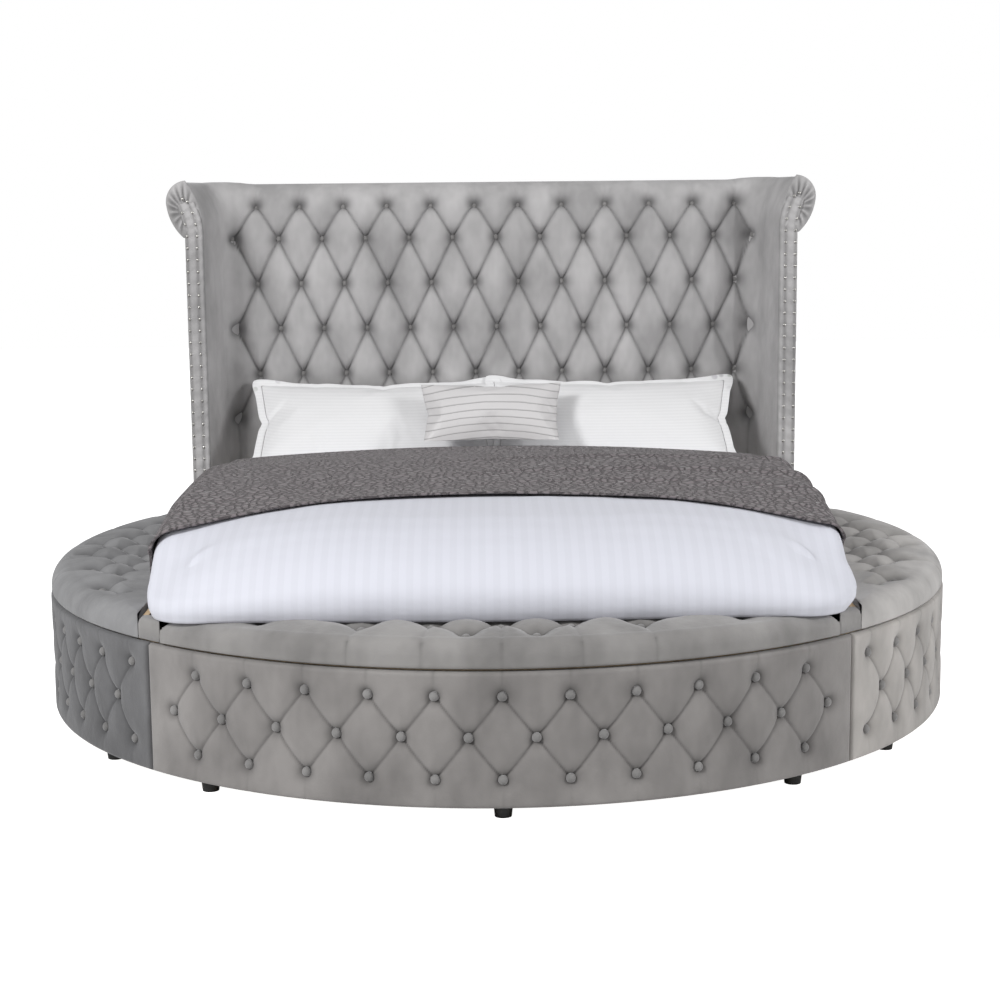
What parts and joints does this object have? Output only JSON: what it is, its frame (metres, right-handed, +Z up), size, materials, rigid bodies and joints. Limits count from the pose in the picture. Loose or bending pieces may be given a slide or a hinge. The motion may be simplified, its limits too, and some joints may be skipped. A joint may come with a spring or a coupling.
{
  "type": "storage bed",
  "caption": "Round storage bed: a queen mattress ringed by tufted benches with lift-up lids, a tufted scroll headboard with nailed wings, and its bedding.",
  "frame": {"origin": "on the floor, at the centre of the round base", "axes": "+Z up; the headboard is at +Y and the foot of the bed at -Y; +X is the sleeper's left, seen from the foot on the right"},
  "size_m": [2.54, 2.54, 1.485],
  "materials": {
    "velvet": "matte grey velvet, tufted and padded",
    "velvet_button": "buttons covered in the same grey velvet",
    "nailhead": "polished nickel",
    "steel": "zinc plated",
    "plywood": "bare birch plywood",
    "timber": "planed softwood",
    "foot_plastic": "matte black",
    "mattress": "knitted mattress ticking",
    "comforter": "white cotton with a fine self stripe",
    "throw": "dark grey-brown quilted velvet",
    "sham": "white cotton",
    "accent": "light grey pintucked satin"
  },
  "bodies": {
    "root": {"foot_bench_front": "plywood", "foot_bench_cover": "velvet", "foot_bench_buttons": "velvet_button", "foot_rail": "timber", "foot_bench_floor": "plywood", "right_bench_front": "plywood", "right_bench_cover": "velvet", "right_bench_buttons": "velvet_button", "right_side_rail": "timber", "right_bench_floor": "plywood", "left_bench_front": "plywood", "left_bench_cover": "velvet", "left_bench_buttons": "velvet_button", "left_side_rail": "timber", "left_bench_floor": "plywood", "corner_posts": "timber", "corner_caps": "velvet", "foot_hinges_fixed": "steel", "right_hinges_fixed": "steel", "left_hinges_fixed": "steel", "feet": "foot_plastic", "slat_ledgers": "timber", "slats": "timber", "centre_beam": "timber", "centre_legs": "timber", "rail_brackets": "steel", "bracket_bolts": "steel", "headboard_core": "plywood", "headboard_back": "velvet", "headboard_tufting": "velvet", "headboard_buttons": "velvet_button", "headboard_roll_ends": "velvet", "right_wing_board": "plywood", "right_wing_padding": "velvet", "right_wing_band": "velvet", "right_wing_nails": "nailhead", "left_wing_board": "plywood", "left_wing_padding": "velvet", "left_wing_band": "velvet", "left_wing_nails": "nailhead", "mattress": "mattress", "comforter": "comforter", "throw": "throw", "right_sham": "sham", "left_sham": "sham", "accent_cushion": "accent"},
    "foot_lid": {"foot_lid_board": "plywood", "foot_lid_cushion": "velvet", "foot_lid_buttons": "velvet_button", "foot_hinges_lid": "steel"},
    "right_lid": {"right_lid_board": "plywood", "right_lid_cushion": "velvet", "right_lid_buttons": "velvet_button", "right_hinges_lid": "steel"},
    "left_lid": {"left_lid_board": "plywood", "left_lid_cushion": "velvet", "left_lid_buttons": "velvet_button", "left_hinges_lid": "steel"}
  },
  "joints": [
    {"name": "foot_lid_hinge", "type": "hinge", "parent": "root", "child": "foot_lid", "pos_m": [0, -0.95004, 0.412], "axis": [-1, 0, 0], "range_deg": [0, 80], "deforming": ["comforter"]},
    {"name": "right_lid_hinge", "type": "hinge", "parent": "root", "child": "right_lid", "pos_m": [0.8813, 0, 0.412], "axis": [0, -1, 0], "range_deg": [0, 80]},
    {"name": "left_lid_hinge", "type": "hinge", "parent": "root", "child": "left_lid", "pos_m": [-0.8813, 0, 0.412], "axis": [0, 1, 0], "range_deg": [0, 80]}
  ]
}
